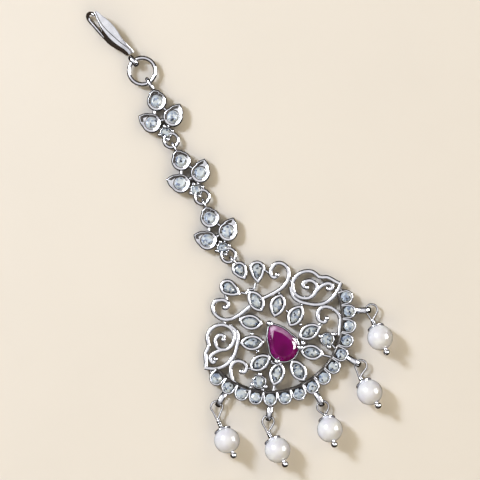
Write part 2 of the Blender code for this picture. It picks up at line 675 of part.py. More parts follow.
def link(number):
    """One flower link: three leaf settings, a prong setting, a ring and a loop."""
    x, y, turn = link_middle(number)
    solids = folder_named("link_%d_solids" % (number + 1))
    wells = folder_named("link_%d_wells" % (number + 1))

    def at(px, py, z=0.0):
        c, s = math.cos(turn), math.sin(turn)
        return Vector((x + px * c - py * s, y + px * s + py * c, z))

    stone = circle_outline(LINK_STONE_D / 2, 8, math.radians(22.5))
    seats = ((0.0, LINK_RISE, 90, LINK_TIP), (-LINK_SIDE, 0.0, 135, LINK_SIDE_TIP),
             (LINK_SIDE, 0.0, 45, LINK_SIDE_TIP))
    for i, (px, py, point_to, reach) in enumerate(seats):
        leaf = leaf_outline(reach)
        spot = at(px, py)
        angle = math.radians(point_to) + turn
        bm = bmesh.new()
        stack(bm, [place(leaf, spot, angle, 0.0), place(leaf, spot, angle, LINK_TOP - CUP_LIP),
                   place(shrunk(leaf, 0.94), spot, angle, LINK_TOP)])
        add_object("leaf_%d_%d" % (number, i), bm, METAL, solids)
        bm = bmesh.new()
        well = grown(stone, STONE_GAP)
        stack(bm, [place(well, spot, angle, CUP_FLOOR), place(well, spot, angle, LINK_TOP + WELL_OVER)])
        add_object("leaf_well_%d_%d" % (number, i), bm, METAL, wells)
        near = LINK_STONE_D / 2 + NOOK_HALF
        nook = [(reach - NOOK_END, 0.0), (near, NOOK_HALF), (near, -NOOK_HALF)]
        bm = bmesh.new()
        stack(bm, [place(nook, spot, angle, CUP_FLOOR), place(nook, spot, angle, LINK_TOP + WELL_OVER)])
        add_object("leaf_nook_%d_%d" % (number, i), bm, METAL, wells)
        add_object("link_%d_stone_%d" % (number + 1, i + 1),
                   gem("", stone, spot, angle, LINK_TOP - GEM_SEAT, LINK_STONE_D), CLEAR,
                   smooth=False)
    spot = at(0.0, -LINK_DROP)
    small = circle_outline(LINK_SMALL_D / 2, 8, math.radians(22.5))
    cup(solids, wells, "prong_cup_%d" % number, small, spot, turn, LINK_TOP - CLAW_CUP_DROP, 0.28 * MM)
    add_object("link_%d_stone_4" % (number + 1),
               gem("", small, spot, turn, LINK_TOP - CLAW_CUP_DROP - SMALL_SEAT, LINK_SMALL_D), CLEAR, smooth=False)
    for k, angle in enumerate((0, 90, 180, 270)):
        a = math.radians(angle) + turn
        reach = LINK_SMALL_D / 2 + STONE_GAP + PRONG_R * 0.9
        foot = spot + Vector((math.cos(a), math.sin(a), 0)) * reach
        prong(solids, "link_prong_%d_%d" % (number, k), foot, PRONG_R * 0.9, LINK_TOP)
    middles = ((0.0, LINK_RISE), (-LINK_SIDE, 0.0), (LINK_SIDE, 0.0), (0.0, -LINK_DROP))
    for k, (first, last) in enumerate(((0, 1), (0, 2), (1, 2), (1, 3), (2, 3))):
        ends = [at(*middles[first], WIRE_Z), at(*middles[last], WIRE_Z)]
        add_object("link_bar_%d_%d" % (number, k), tube(ends, WIRE_R, 5), METAL, solids)
    ring_at, reach = ring_place(number)
    ring = [Vector((ring_at.x + px, ring_at.y + py, RING_Z)) for px, py in circle_outline(reach, 14)]
    add_object("flat_ring_%d" % number, tube(ring, LINK_RING_R, 5, True), METAL, solids)
    tip = at(0.0, LINK_RISE + LINK_TIP)
    if number == 0:
        above, above_reach = hook_ring_at(RING_Z), HOOK_RING_D / 2 - HOOK_RING_R
    else:
        above, above_reach = ring_place(number - 1)
    upright_loop(solids, "tip_loop_%d" % number, tip, above, above_reach)
    body = first_solid("link_%d" % (number + 1), "leaf_%d_0" % number, solids)
    combine(body, solids, 'UNION')
    combine(body, wells, 'DIFFERENCE')


def leaf_outline(tip):
    """Leaf round a link's stone, its point along +x."""
    radius = LINK_STONE_D / 2 + LINK_WALL
    return pear_outline(tip + radius, 2 * radius, 8)


def hook_ring():
    points = [hook_ring_at(RING_Z) + Vector((px, py, 0.0))
              for px, py in circle_outline(HOOK_RING_D / 2 - HOOK_RING_R, 16)]
    add_object("hook_ring", tube(points, HOOK_RING_R, 6, True), METAL)


def hair_hook():
    """Leaf-shaped blade with a ridge, folded back into a plain leg at the top."""
    solids = folder_named("hook_solids")
    along = Vector((-math.sin(HOOK_TILT), math.cos(HOOK_TILT), 0.0))
    across = Vector((math.cos(HOOK_TILT), math.sin(HOOK_TILT), 0.0))
    ring_r = HOOK_RING_D / 2 - HOOK_RING_R
    bar = hook_ring_at(RING_Z) + along * ring_r
    eye_r = HOOK_RING_R + LOOP_GAP + 0.35 * MM
    start = bar + along * (eye_r + 0.1 * MM)
    bm = bmesh.new()
    rings = []
    for row in rows(BLADE_COLUMNS, BLADE):
        half = row.wide * HOOK_WIDE / 2
        thick = HOOK_THICK * (0.55 + 0.45 * row.wide)
        rise = RING_Z + (HOOK_RISE - RING_Z) * min(1.0, row.along * 2.2)
        centre = Vector((start.x, start.y, 0)) + along * (row.along * HOOK_LEN) + Vector((0, 0, rise))
        section = ((1.0, -0.15), (0.35, 0.5), (-0.45, 0.35), (-1.0, -0.2), (-0.4, -0.5), (0.4, -0.5))
        rings.append([centre + across * (sx * half) + Vector((0, 0, sz * thick)) for sx, sz in section])
    stack(bm, rings)
    add_object("blade", bm, METAL, solids)
    top = Vector((start.x, start.y, 0)) + along * (HOOK_LEN - 0.3 * MM) + Vector((0, 0, HOOK_RISE))
    low_z = RETURN_R + 0.05 * MM
    drop = (HOOK_RISE - low_z) / 2
    fold = []
    for i in range(7):
        a = math.pi / 2 - math.pi * i / 6
        shift = (1 - math.sin(a)) / 2
        fold.append(top - across * (RETURN_SIDE * shift) + along * (drop * 0.9 * math.cos(a))
                    + Vector((0, 0, drop * (math.sin(a) - 1))))
    leg = fold[-1] - along * RETURN_LEN
    path = fold + [fold[-1] - along * (RETURN_LEN / 2), leg]
    radii = [RETURN_R] * (len(path) - 1) + [RETURN_R * 0.6]
    add_object("fold", tube(path, radii, 6, False, 1.0, 0.0, across), METAL, solids)
    eye = []
    for i in range(LOOP_STEPS):
        a = 2 * math.pi * i / LOOP_STEPS
        eye.append(bar + along * (eye_r * math.cos(a)) + Vector((0, 0, (eye_r - 0.1 * MM) * math.sin(a))))
    add_object("eye", tube(eye, 0.35 * MM, 6, True, 1.0, 0.0, across), METAL, solids)
    body = first_solid("hair_hook", "blade", solids)
    combine(body, solids, 'UNION')


def drop(number, row):
    """Pearl on a pin: loop round the bail, wrapped neck, ball under the pearl."""
    bar = bail_bar(row.rim, row.turn)
    neck = Vector((bar.x + row.wrap_x * PEARL_D, bar.y + row.wrap_y * PEARL_D, bar.z))
    pearl_at = Vector((bar.x + row.pearl_x * PEARL_D, bar.y + row.pearl_y * PEARL_D, PEARL_D / 2))
    down = (pearl_at - neck).normalized()
    solids = folder_named("pin_%d_solids" % number)
    back = (neck - bar).normalized()
    side = Vector((-back.y, back.x, 0.0))
    loop = [neck]
    for i in range(9):
        a = math.radians(50 + 260 * i / 8)
        loop.append(bar + back * (PIN_LOOP_R * math.cos(a)) + side * (PIN_LOOP_R * math.sin(a)))
    loop.append(neck - side * (PIN_R * 0.8))
    add_object("loop", tube(loop, PIN_R, 5), METAL, solids)
    ball_at = pearl_at + down * (PEARL_D / 2 + PIN_BALL_D / 2 + 0.15 * MM)
    add_object("shaft", tube([neck - down * (0.2 * MM), ball_at], PIN_R, 5, up=Vector((0.3, 0, 1))),
               METAL, solids)
    shoulder = pearl_at - down * (PEARL_D / 2 + 2 * PEARL_GAP + CAP_THICK)
    wrap = [neck - down * (0.1 * MM), neck.lerp(shoulder, 0.3), neck.lerp(shoulder, 0.75), shoulder]
    add_object("wrap", tube(wrap, [PIN_WRAP_R * 0.8, PIN_WRAP_R, PIN_WRAP_R, PIN_WRAP_R * 0.9], 6,
                            up=Vector((0.3, 0, 1))), METAL, solids)
    ball(solids, "ball", ball_at, PIN_BALL_D / 2, 7, 4)
    body = first_solid("eye_pin_%d" % number, "shaft", solids)
    combine(body, solids, 'UNION')
    radius, lean = PEARL_D / 2, math.asin(PEARL_BORE / PEARL_D)
    profile = [(radius, lean + (math.pi - 2 * lean) * i / 7) for i in range(8)]
    add_object("pearl_%d" % number, turned(pearl_at, down, profile, 12), PEARL)
    inner = radius + PEARL_GAP
    outer = inner + CAP_THICK
    edge = math.asin(CAP_D / 2 / outer)
    hole = math.asin(PEARL_BORE / 2 / inner)
    profile = [(inner, hole), (inner, edge), (outer, edge), (outer, hole)]
    add_object("bead_cap_%d" % number, turned(pearl_at, -down, profile, 12), METAL)


def turned(at, axis, profile, around):
    """Ring-shaped body round an axis; the profile is radius and angle off the axis."""
    side = axis.cross(Vector((0, 0, 1))).normalized()
    rise = side.cross(axis).normalized()
    spokes = [2 * math.pi * k / around for k in range(around)]
    bm = bmesh.new()
    made = []
    for radius, a in profile:
        made.append([bm.verts.new(at + axis * (radius * math.cos(a))
                                  + (side * math.cos(b) + rise * math.sin(b)) * (radius * math.sin(a)))
                     for b in spokes])
    for lower, upper in zip(made, made[1:]):
        bridge(bm, lower, upper)
    bridge(bm, made[-1], made[0])
    return bm


def main():
    clear_scene()
    pendant()
    for number, row in enumerate(rows(DROP_COLUMNS, DROPS)):
        drop(number + 1, row)
    for number in range(len(LINK_ROUTE)):
        link(number)
    hook_ring()
    hair_hook()


main()
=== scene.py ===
import math

import bpy
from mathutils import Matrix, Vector


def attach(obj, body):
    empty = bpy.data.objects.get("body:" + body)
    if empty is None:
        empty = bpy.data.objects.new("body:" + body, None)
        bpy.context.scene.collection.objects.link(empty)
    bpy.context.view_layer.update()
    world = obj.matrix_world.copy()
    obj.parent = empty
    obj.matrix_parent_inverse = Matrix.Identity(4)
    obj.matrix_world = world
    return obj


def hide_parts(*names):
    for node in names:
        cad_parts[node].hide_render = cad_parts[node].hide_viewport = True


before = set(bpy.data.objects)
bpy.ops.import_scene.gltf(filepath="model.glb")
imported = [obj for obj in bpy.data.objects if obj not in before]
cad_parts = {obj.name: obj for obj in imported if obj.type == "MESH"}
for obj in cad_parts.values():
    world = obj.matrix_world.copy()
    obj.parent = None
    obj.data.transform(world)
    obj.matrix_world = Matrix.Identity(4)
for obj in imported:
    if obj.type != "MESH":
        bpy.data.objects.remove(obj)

mm = 0.001
up = Vector((0, 0, 1))
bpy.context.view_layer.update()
bpy.context.scene.view_settings.view_transform = "Standard"


def clearSelection():
    if bpy.context.object and bpy.context.object.mode != "OBJECT":
        bpy.ops.object.mode_set(mode="OBJECT")
    for thing in bpy.context.selected_objects:
        thing.select_set(False)


def pickUp(*things):
    clearSelection()
    for thing in things:
        thing.select_set(True)
    bpy.context.view_layer.objects.active = things[0]


def edit(piece, kind="FACE"):
    pickUp(piece)
    bpy.ops.object.mode_set(mode="EDIT")
    bpy.ops.mesh.select_mode(type=kind)
    bpy.ops.mesh.select_all(action="SELECT")


def leave():
    bpy.ops.object.mode_set(mode="OBJECT")


def joined(name, pieces):
    pickUp(*pieces)
    if len(pieces) > 1:
        bpy.ops.object.join()
    whole = bpy.context.object
    whole.name = whole.data.name = name
    return whole


def placed(piece):
    pickUp(piece)
    bpy.ops.object.transform_apply(location=True, rotation=True, scale=True)
    return piece


def applied(piece, kind, **settings):
    pickUp(piece)
    step = piece.modifiers.new(kind.lower(), kind)
    for key, value in settings.items():
        setattr(step, key, value)
    bpy.ops.object.modifier_apply(modifier=step.name)


def turnedOut(piece):
    edit(piece)
    bpy.ops.mesh.normals_make_consistent(inside=False)
    leave()
    return piece


def smoothed(piece, degrees=40):
    pickUp(piece)
    bpy.ops.object.shade_smooth_by_angle(angle=math.radians(degrees))
    return piece


class Link:
    # an output socket that takes part in sums
    def __init__(self, finish, socket):
        self.finish, self.socket = finish, socket

    def sum(self, operation, other):
        return self.finish.node("ShaderNodeMath", {"operation": operation}, {0: self, 1: other})

    def __add__(self, other):
        return self.sum("ADD", other)

    def __mul__(self, other):
        return self.sum("MULTIPLY", other)


def setStops(made, stops):
    # colours of a ramp node
    while len(made.color_ramp.elements) < len(stops):
        made.color_ramp.elements.new(0.5)
    for stop, (at, colour) in zip(made.color_ramp.elements, stops):
        stop.position, stop.color = at, (*colour, 1)


class Finish:
    # a material, and the nodes that feed its shader
    def __init__(self, name, **constants):
        self.material = bpy.data.materials.new(name)
        self.material.use_nodes = True
        self.tree = self.material.node_tree
        self.shader = self.tree.nodes["Principled BSDF"]
        for key, value in constants.items():
            self.shader.inputs[key.replace("_", " ")].default_value = value
        self.place = self.node("ShaderNodeTexCoord", output="Object")

    def node(self, kind, settings=None, inputs=None, output=0):
        made = self.tree.nodes.new(kind)
        for key, value in (settings or {}).items():
            if key == "stops":
                setStops(made, value)
            else:
                setattr(made, key, value)
        for key, value in (inputs or {}).items():
            if isinstance(value, Link):
                self.tree.links.new(value.socket, made.inputs[key])
            else:
                made.inputs[key].default_value = value
        return Link(self, made.outputs[output])

    def feed(self, name, link):
        self.tree.links.new(link.socket, self.shader.inputs[name])

    def noise(self, scale, detail=2.0):
        return self.node("ShaderNodeTexNoise", {}, {"Vector": self.place, "Scale": scale, "Detail": detail})

    def ramp(self, level, stops):
        return self.node("ShaderNodeValToRGB", {"stops": stops}, {0: level})

    def bump(self, height, strength, distance):
        return self.node("ShaderNodeBump", {}, {"Height": height, "Strength": strength, "Distance": distance},
                         "Normal")


# the darkest colours here are painted shade and painted dark reflections for steep and sunk metal
silverLook = {"light": (0.93, 0.93, 0.96), "dark": (0.78, 0.78, 0.82), "rough": 0.06, "spread": 0.06,
              "grain": 700, "unevenness": 0.10, "waves": 0.03 * mm, "paintedShade": (0.07, 0.063, 0.058),
              "paintedShadeLight": (0.20, 0.185, 0.175), "paintedShadeRough": 0.15}
# the glass and foil stops run from near black to white: painted reflections in the cut stones
clearLook = {"cells": 1900, "flecks": 2100, "index": 1.75, "through": 0.35, "rough": 0.02, "foilSpread": 0.08,
             "glass": ((0.14, (0.03, 0.04, 0.08)), (0.27, (0.36, 0.45, 0.68)), (0.4, (0.66, 0.79, 1.0)),
                       (0.6, (0.80, 0.89, 1.0))),
             "foil": ((0.0, (0.05, 0.06, 0.09)), (0.2, (0.30, 0.34, 0.44)), (0.42, (0.72, 0.78, 0.90)),
                      (0.7, (0.96, 0.98, 1.0)))}
# the lilac and pale colours are a painted glint on crown facets facing the upper right
rubyLook = {"deep": (0.09, 0.0, 0.062), "middle": (0.15, 0.0, 0.105), "bright": (0.26, 0.003, 0.19),
            "crown": (0.13, 0.001, 0.09), "lilac": (0.34, 0.13, 0.33), "glintFacet": (0.46, 0.24, 0.46),
            "grain": 190, "spread": 0.1, "tableRough": 0.06, "crownRough": 0.04}
pearlLook = {"light": (0.87, 0.905, 1.0), "shade": (0.76, 0.775, 0.93), "grain": 420, "rough": 0.2,
             "spread": 0.12}


def silverFinish():
    look = silverLook
    made = Finish("polishedSilver", Metallic=1.0)
    cloud = made.noise(look["grain"], 3.0)
    made.feed("Base Color", made.ramp(cloud, ((0.3, look["dark"]), (0.7, look["light"]))))
    made.feed("Roughness", cloud * look["spread"] + look["rough"])
    made.feed("Normal", made.bump(made.noise(look["grain"] * 0.6, 1.0), look["unevenness"],
                                  look["waves"]))
    return made.material


def paintedShadeFinish():
    # dark steep flanks and recesses of the cast metal: painted shade and painted dark reflections
    look = silverLook
    made = Finish("paintedShadeSilver", Metallic=1.0)
    cloud = made.noise(look["grain"], 3.0)
    made.feed("Base Color", made.ramp(cloud, ((0.35, look["paintedShade"]), (0.7, look["paintedShadeLight"]))))
    made.feed("Roughness", cloud * look["paintedShadeRough"] + look["paintedShadeRough"])
    return made.material


def clearFinishes():
    look = clearLook
    glass = Finish("clearCut", Transmission_Weight=look["through"], IOR=look["index"])
    # dark and bright cells paint the inner reflections of a cut stone
    cells = glass.node("ShaderNodeTexVoronoi", {}, {"Vector": glass.place, "Scale": look["flecks"]}, "Color")
    glass.feed("Base Color", glass.ramp(glass.node("ShaderNodeRGBToBW", {}, {0: cells}), look["glass"]))
    glass.feed("Roughness", glass.noise(look["cells"]) * look["rough"])
    foil = Finish("clearFoil", Metallic=1.0)
    # the foil's dark and bright cells are painted reflections too
    cells = foil.node("ShaderNodeTexVoronoi", {}, {"Vector": foil.place, "Scale": look["cells"]}, "Color")
    level = foil.node("ShaderNodeRGBToBW", {}, {0: cells})
    foil.feed("Base Color", foil.ramp(level, look["foil"]))
    foil.feed("Roughness", foil.noise(look["cells"]) * look["foilSpread"] + look["rough"])
    return glass.material, foil.material


def rubyFinishes():
    look = rubyLook
    table = Finish("magentaTable", IOR=1.2)
    drift = table.noise(look["grain"], 1.0)
    stops = ((0.35, look["deep"]), (0.52, look["middle"]), (0.8, look["bright"]))
    table.feed("Base Color", table.ramp(drift, stops))
    table.feed("Roughness", drift * look["spread"] + look["tableRough"])
    crown = Finish("magentaCrown", Coat_Weight=1.0, Coat_Roughness=0.03, Coat_IOR=1.75, IOR=1.6)
    drift = crown.noise(look["grain"] * 2, 1.0)
    crown.feed("Base Color", crown.ramp(drift, ((0.3, look["crown"]), (0.7, look["bright"]))))
    crown.feed("Roughness", drift * look["spread"] + look["crownRough"])
    # pale lilac for the crown facets that face the upper right: a painted glint
    glintFacet = Finish("magentaGlint", Coat_Weight=1.0, Coat_Roughness=0.03, Coat_IOR=1.5)
    drift = glintFacet.noise(look["grain"] * 3, 1.0)
    glintFacet.feed("Base Color", glintFacet.ramp(drift, ((0.35, look["lilac"]), (0.65, look["glintFacet"]))))
    glintFacet.feed("Roughness", drift * look["spread"] + look["crownRough"])
    return crown.material, table.material, glintFacet.material


def pearlFinish():
    look = pearlLook
    made = Finish("pearlNacre", Coat_Weight=1.0, Coat_Roughness=0.12, Coat_IOR=1.6)
    cloud = made.noise(look["grain"], 2.0)
    made.feed("Base Color", made.ramp(cloud, ((0.3, look["shade"]), (0.65, look["light"]))))
    made.feed("Roughness", cloud * look["spread"] + look["rough"])
    return made.material


silver, paintedShade = silverFinish(), paintedShadeFinish()
clearGlass, clearFoil = clearFinishes()
rubyCrown, rubyTable, rubyGlint = rubyFinishes()
nacre = pearlFinish()
print("materials ready")


def withPaintedShade(piece, flank, level=None):
    # steep faces and those under a level get the dark finish: painted shade and painted dark reflections
    piece.data.materials.append(silver)
    piece.data.materials.append(paintedShade)
    for face in piece.data.polygons:
        low = level is not None and face.center.z < level
        face.material_index = 1 if face.normal.z < flank or low else 0
    return piece


def finished(piece, materials, node):
    # the faces keep their material numbers; cast metal comes with its two finishes, silver and painted shade
    if materials:
        kinds = [face.material_index for face in piece.data.polygons]
        piece.data.materials.clear()
        for material in materials:
            piece.data.materials.append(material)
        for face, kind in zip(piece.data.polygons, kinds):
            face.material_index = kind
    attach(piece, "root")
    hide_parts(node)
    print("made", piece.name, len(piece.data.polygons), "faces")


def anglesRound(count, start=0.0):
    return [start + 2 * math.pi * i / count for i in range(count)]


def circlePoints(radius, count, start=0.0):
    # an outline is a list of x and y in metres
    return [(radius * math.cos(a), radius * math.sin(a)) for a in anglesRound(count, start)]


def standingOval(middle, along, reach, rise):
    return [middle + along * (reach * math.cos(a)) + up * (rise * math.sin(a)) for a in anglesRound(14)]


def marquisePoints(length, width, steps):
    half, rise = length / 2, width / 2
    radius = (half * half + rise * rise) / (2 * rise)
    sweep = math.asin(half / radius)
    points = []
    for side in (1, -1):
        for i in range(steps):
            a = side * (sweep - 2 * sweep * i / steps)
            points.append((radius * math.sin(a), side * (radius * math.cos(a) - radius + rise)))
    return points


def pearPoints(length, width, steps, flank=3):
    radius = width / 2
    tip = length - radius
    lean = math.acos(min(0.95, radius / tip))
    sides = []
    for i in range(1, flank):
        t = i / flank
        sides.append((tip + (radius * math.cos(lean) - tip) * t,
                      radius * math.sin(lean) * t + 0.16 * radius * math.sin(math.pi * t)))
    points = [(tip, 0.0)] + sides
    for i in range(steps + 1):
        a = lean + (2 * math.pi - 2 * lean) * i / steps
        points.append((radius * math.cos(a), radius * math.sin(a)))
    return points + [(x, -y) for x, y in reversed(sides)]


def grown(points, by):
    # the outline moved outwards, whichever way round it runs
    count = len(points)
    around = sum(points[k - 1][0] * points[k][1] - points[k][0] * points[k - 1][1] for k in range(count))
    made = []
    for i in range(count):
        here = Vector(points[i])
        before = (here - Vector(points[i - 1])).normalized()
        after = (Vector(points[(i + 1) % count]) - here).normalized()
        normal = Vector((before.y + after.y, -before.x - after.x)).normalized()
        if around < 0:
            normal = -normal
        reach = max(0.62, abs(normal.dot(Vector((before.y, -before.x)))))
        made.append(tuple(here + normal * (by / reach)))
    return made


def spread(points, at, turn, z):
    c, s = math.cos(turn), math.sin(turn)
    return [Vector((at[0] + x * c - y * s, at[1] + x * s + y * c, z)) for x, y in points]


def plate(points, at, turn, z):
    # filled circle whose corners are moved onto an outline
    clearSelection()
    bpy.ops.mesh.primitive_circle_add(vertices=len(points), radius=mm, fill_type="NGON")
    made = bpy.context.object
    for corner, spot in zip(made.data.vertices, spread(points, at, turn, z)):
        corner.co = spot
    return turnedOut(made)


def cup(points, at, turn, foot, top, wall, well, soft=0.2, slope=0.0, skirt=0.16 * mm, flank=0.72):
    # closed setting: extruded outline with a chamfered rim, a sunk middle and rounded lips
    made = plate(points, at, turn, foot)
    edit(made)
    bpy.ops.mesh.extrude_region_move(TRANSFORM_OT_translate={"value": (0, 0, top - foot - skirt * 1.2)})
    bpy.ops.mesh.inset(thickness=skirt, depth=0)
    bpy.ops.transform.translate(value=(0, 0, skirt * 1.2))
    bpy.ops.mesh.inset(thickness=wall - skirt, depth=0)
    bpy.ops.mesh.extrude_region_move(TRANSFORM_OT_translate={"value": (0, 0, -well)})
    if slope:
        bpy.ops.transform.resize(value=(1 - slope, 1 - slope, 1))
    leave()
    turnedOut(made)
    applied(made, "BEVEL", width=wall * soft, segments=2, limit_method="ANGLE", angle_limit=math.radians(42))
    # steep faces, and faces sunk 0.3 mm under the top when the middle does not slope, get painted shade
    return withPaintedShade(smoothed(made, 50), flank, None if slope else top - 0.3 * mm)


def beadAt(spot, radius, foot=None, around=16, flank=0.30, flat=1.0):
    # ball, or a claw when its lower half is pulled down to a foot
    clearSelection()
    bpy.ops.mesh.primitive_uv_sphere_add(segments=around, ring_count=10, radius=radius, location=spot)
    made = placed(bpy.context.object)
    for corner in made.data.vertices:
        if foot is not None and corner.co.z < spot[2] - radius * 0.05:
            corner.co.z = foot
        elif corner.co.z > spot[2]:
            corner.co.z = spot[2] + (corner.co.z - spot[2]) * flat
    # the steep sides of the ball get painted shade
    return withPaintedShade(smoothed(made, 60), flank)


def ribbonSection(wide, high):
    # rounded box that a flat-topped wire is drawn with
    clearSelection()
    bpy.ops.mesh.primitive_circle_add(vertices=16, radius=mm, fill_type="NOTHING")
    made = bpy.context.object
    square = 0.62      # 1 gives an oval, 0 a box
    for i, corner in enumerate(made.data.vertices):
        c, s = math.cos(2 * math.pi * i / 16), math.sin(2 * math.pi * i / 16)
        corner.co = (wide / 2 * math.copysign(abs(c) ** square, c),
                     high / 2 * math.copysign(abs(s) ** square, s), 0)
    pickUp(made)
    bpy.ops.object.convert(target="CURVE")
    return bpy.context.object


def wire(points, radius, closed=False, radii=None, section=None, steps=5, sides=3, twist="Z_UP", flank=0.62):
    clearSelection()
    bpy.ops.curve.primitive_bezier_curve_add(location=(0, 0, 0))
    strand = bpy.context.object
    path = strand.data.splines[0]
    path.bezier_points.add(len(points) - 2)
    for i, (knot, spot) in enumerate(zip(path.bezier_points, points)):
        knot.co = spot
        knot.handle_left_type = knot.handle_right_type = "AUTO"
        knot.radius = radii[i] if radii else 1.0
    path.use_cyclic_u = closed
    strand.data.dimensions = "3D"
    strand.data.resolution_u = steps
    strand.data.twist_mode = twist
    if section:
        strand.data.bevel_mode = "OBJECT"
        strand.data.bevel_object = section
    else:
        strand.data.bevel_depth = radius
        strand.data.bevel_resolution = sides
    strand.data.use_fill_caps = not closed
    pickUp(strand)
    bpy.ops.object.convert(target="MESH")
    made = bpy.context.object
    edit(made)
    bpy.ops.mesh.remove_doubles(threshold=0.001 * mm)
    bpy.ops.mesh.normals_make_consistent(inside=False)
    leave()
    # faces steeper than the flank level get painted shade; a flank of 2 paints the whole wire dark, one of -2
    # leaves it bright
    return withPaintedShade(smoothed(made, 45), flank)


def widened(piece, middle, across, share):
    # draws a loop of wire out into a band
    for corner in piece.data.vertices:
        corner.co += across * (corner.co - middle).dot(across) * share
    return piece


def ringWire(centre, radius, thick, count=24, gapAt=None):
    # flat ring, closed or split at one angle
    if gapAt is None:
        spots = [centre + Vector((x, y, 0)) for x, y in circlePoints(radius, count)]
        return wire(spots, thick, True)
    half = math.asin(0.10 * mm / radius)
    angles = [gapAt + half + (2 * math.pi - 2 * half) * i / count for i in range(count + 1)]
    spots = [centre + Vector((radius * math.cos(a), radius * math.sin(a), 0)) for a in angles]
    return wire(spots, thick)


def gem(points, at, turn, seat, width, table=0.56, crown=0.20, deep=0.36):
    # cut stone: each ring is half a step on from the last, so its facets are triangles
    count = len(points)
    middle = Vector((sum(p[0] for p in points) / count, sum(p[1] for p in points) / count))

    def ring(share, half):
        made = []
        for i in range(count):
            here = Vector(points[i])
            if half:
                here = (here + Vector(points[(i + 1) % count])) / 2
            made.append(tuple(middle + (here - middle) * share))
        return made

    girdle = seat + 0.02 * width
    levels = [(ring(0.16, False), seat - deep * width), (ring(0.62, True), seat - deep * 0.5 * width),
              (points, girdle), (points, girdle + 0.05 * width),
              (ring((1 + table) / 2 + 0.03, True), girdle + (0.05 + crown * 0.62) * width),
              (ring(table, False), girdle + (0.05 + crown) * width)]
    rings = []
    for outline, z in levels:
        clearSelection()
        bpy.ops.mesh.primitive_circle_add(vertices=count, radius=mm, fill_type="NOTHING")
        hoop = bpy.context.object
        for corner, spot in zip(hoop.data.vertices, spread(outline, at, turn, z)):
            corner.co = spot
        rings.append(hoop)
    made = joined("stone", rings)
    edit(made, "EDGE")
    bpy.ops.mesh.bridge_edge_loops()
    bpy.ops.mesh.select_all(action="DESELECT")
    bpy.ops.mesh.select_non_manifold()
    bpy.ops.mesh.edge_face_add()
    bpy.ops.mesh.select_all(action="SELECT")
    bpy.ops.mesh.normals_make_consistent(inside=False)
    leave()
    closeEnds(made, levels[0][1], levels[-1][1])
    pickUp(made)
    bpy.ops.object.shade_flat()
    for face in made.data.polygons:
        face.material_index = 1 if face.center.z < girdle - 0.001 * mm else 0     # foil under the girdle
    return made


def closeEnds(piece, low, high):
    # one face over each open end
    for level in (low, high):
        edit(piece, "EDGE")
        leave()
        for corner in piece.data.vertices:
            corner.select = abs(corner.co.z - level) < 0.002 * mm
        for edge in piece.data.edges:
            edge.select = all(piece.data.vertices[k].select for k in edge.vertices)
        for face in piece.data.polygons:
            face.select = all(piece.data.vertices[k].select for k in face.vertices)
        if any(face.select for face in piece.data.polygons):
            continue
        bpy.ops.object.mode_set(mode="EDIT")
        bpy.ops.mesh.edge_face_add()
        leave()
    turnedOut(piece)


def clearStone(name, node, *cut):
    stone = gem(*cut)
    stone.name = name
    finished(stone, [clearGlass, clearFoil], node)


clawFoot = 0.3 * mm
print("helpers ready")


# x and y places on the fan are shares of its radius, from the middle stone
fan = {"r": 17.95 * mm, "centre": (0.5 * mm, 5.95 * mm), "turn": 0.9, "sides": {1: 1.01, -1: 0.965},
       "lean": 0.012, "stones": 15, "pitch": 0.185 * 17.95 * mm, "stoneWide": 2.48 * mm, "seat": 0.35 * mm,
       "inwards": 1.75 * mm, "outwards": 1.60 * mm, "top": 2.2 * mm, "wall": 0.40 * mm, "well": 0.75 * mm,
       "skirt": 0.13 * mm, "overlap": 0.02 * mm, "rail": (0.4 * mm, 1.5 * mm), "railAt": 1.1 * mm}
petals = {"length": 4.30 * mm, "width": 2.50 * mm, "gap": 0.10 * mm, "wall": 0.46 * mm, "lip": 0.64 * mm,
          "cut": 0.90, "top": 2.3 * mm, "well": 1.3 * mm, "seat": 0.75 * mm,
          "places": ((0.000, 0.618, 90), (0.203, 0.430, 41), (0.324, 0.200, 29), (0.372, -0.064, -3),
                     (0.260, -0.296, -42), (0.000, -0.403, 90))}
pears = {"places": ((0.028, 1.074, 90, 1), (0.222, 0.955, 62, 1), (0.222, 0.955, 62, -1)),
         "sizes": ((3.30 * mm, 2.35 * mm), (3.90 * mm, 2.55 * mm), (3.90 * mm, 2.55 * mm)),
         "tipOut": 0.45 * mm}
centre = {"length": 9.30 * mm, "width": 6.40 * mm, "top": 1.9 * mm, "shift": 0.45 * mm, "gap": 0.42 * mm,
          "wall": 0.34 * mm, "seat": 0.05 * mm, "table": 0.70, "crown": 0.24, "deep": 0.36,
          "claws": ((0.0, 5.15, 2.55, 0.74), (3.0, -3.0, 2.55, 0.74), (-3.0, -3.0, 2.55, 0.74),
                    (4.1, -2.6, 1.7, 0.46))}
trefoil = {"place": (0.510, -0.265), "wide": 2.60 * mm, "gap": 0.36 * mm, "wall": 0.30 * mm, "low": 0.6 * mm,
           "well": 0.9 * mm, "seat": 1.0 * mm, "claw": 0.52 * mm, "clawOut": 0.42 * mm,
           "claws": (125, 12, 250)}
